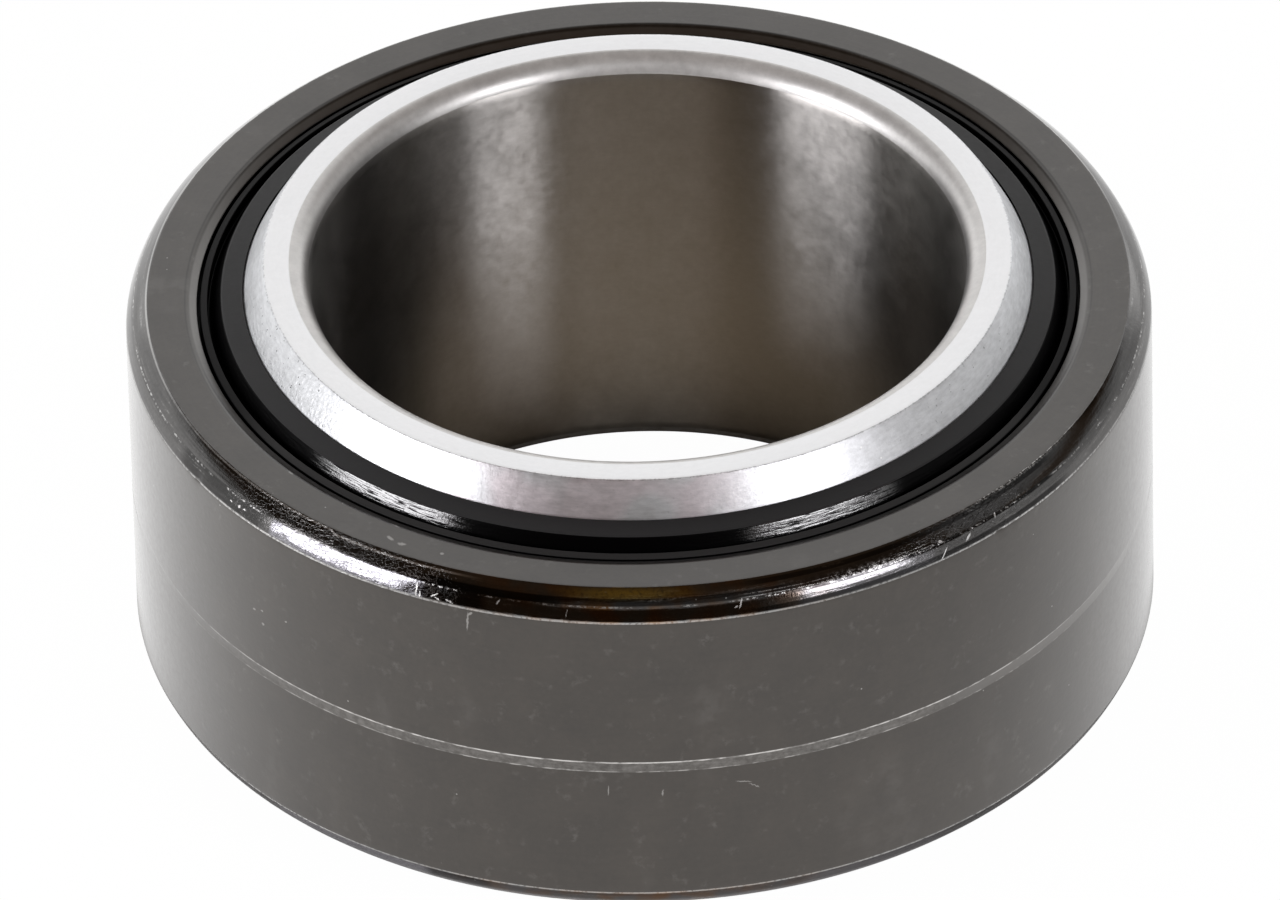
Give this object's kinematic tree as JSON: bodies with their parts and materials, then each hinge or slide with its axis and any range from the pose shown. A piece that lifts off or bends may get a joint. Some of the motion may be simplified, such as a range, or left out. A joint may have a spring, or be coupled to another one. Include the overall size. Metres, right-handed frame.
{
  "type": "spherical plain bearing",
  "caption": "Sealed spherical plain bearing: a steel ring with a ball-shaped outside swivels in a dark steel outer ring with rubber seals.",
  "frame": {"origin": "centre of the ball surface, half-way up the bore", "axes": "+Z along the bore; +X and +Y are any two directions square to it, with the outer ring's split at 245 degrees from +X"},
  "size_m": [0.047, 0.047, 0.022],
  "materials": {
    "dark_steel": "dark satin, as from phosphating and oil",
    "ground_steel": "bright, turned and ground",
    "sliding_layer": "matt sliding layer",
    "black_rubber": "matt lip, glossy trough"
  },
  "bodies": {
    "inner": {"inner_ring": "ground_steel"},
    "liner": {"sliding_liner": "sliding_layer"},
    "outer": {"outer_ring": "dark_steel", "upper_seal": "black_rubber", "lower_seal": "black_rubber"}
  },
  "joints": [
    {"name": "tilt", "type": "hinge", "parent": "inner", "child": "liner", "pos_m": [0, 0, 0], "axis": [1, 0, 0], "range_deg": [-6, 6]},
    {"name": "turn", "type": "hinge", "parent": "liner", "child": "outer", "pos_m": [0, 0, 0], "axis": [0, 0, 1], "continuous": true}
  ]
}
